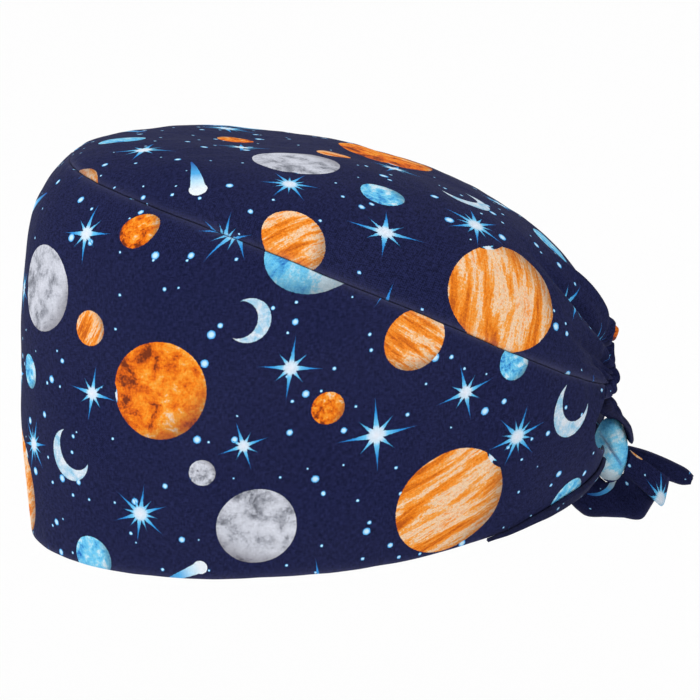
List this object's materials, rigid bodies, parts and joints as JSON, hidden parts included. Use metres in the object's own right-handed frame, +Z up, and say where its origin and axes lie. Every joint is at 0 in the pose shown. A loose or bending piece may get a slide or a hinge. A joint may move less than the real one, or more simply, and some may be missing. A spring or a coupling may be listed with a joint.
{
  "type": "surgical scrub cap",
  "caption": "Soft printed cotton surgical scrub cap with a deep front band, a gathered crown and ties knotted at the back, held in its worn form.",
  "frame": {"origin": "middle of the head opening, level with the rim over the ears", "axes": "+Z up to the crown, -Y to the forehead, +Y to the knot at the back, +X to the wearer's left"},
  "size_m": [0.1759, 0.2638, 0.1542],
  "materials": {
    "printed_cotton": "matt plain-weave cotton, navy with a printed night-sky pattern",
    "tie_cotton": "matt plain-weave cotton, folded into ties, the same print"
  },
  "bodies": {
    "root": {"front_band": "printed_cotton", "crown": "printed_cotton", "back_casing": "printed_cotton", "tie_strap_left": "tie_cotton", "tie_strap_right": "tie_cotton", "tie_knot": "tie_cotton", "tie_loop": "tie_cotton", "tie_tail_left": "tie_cotton", "tie_tail_right": "tie_cotton"}
  },
  "joints": []
}
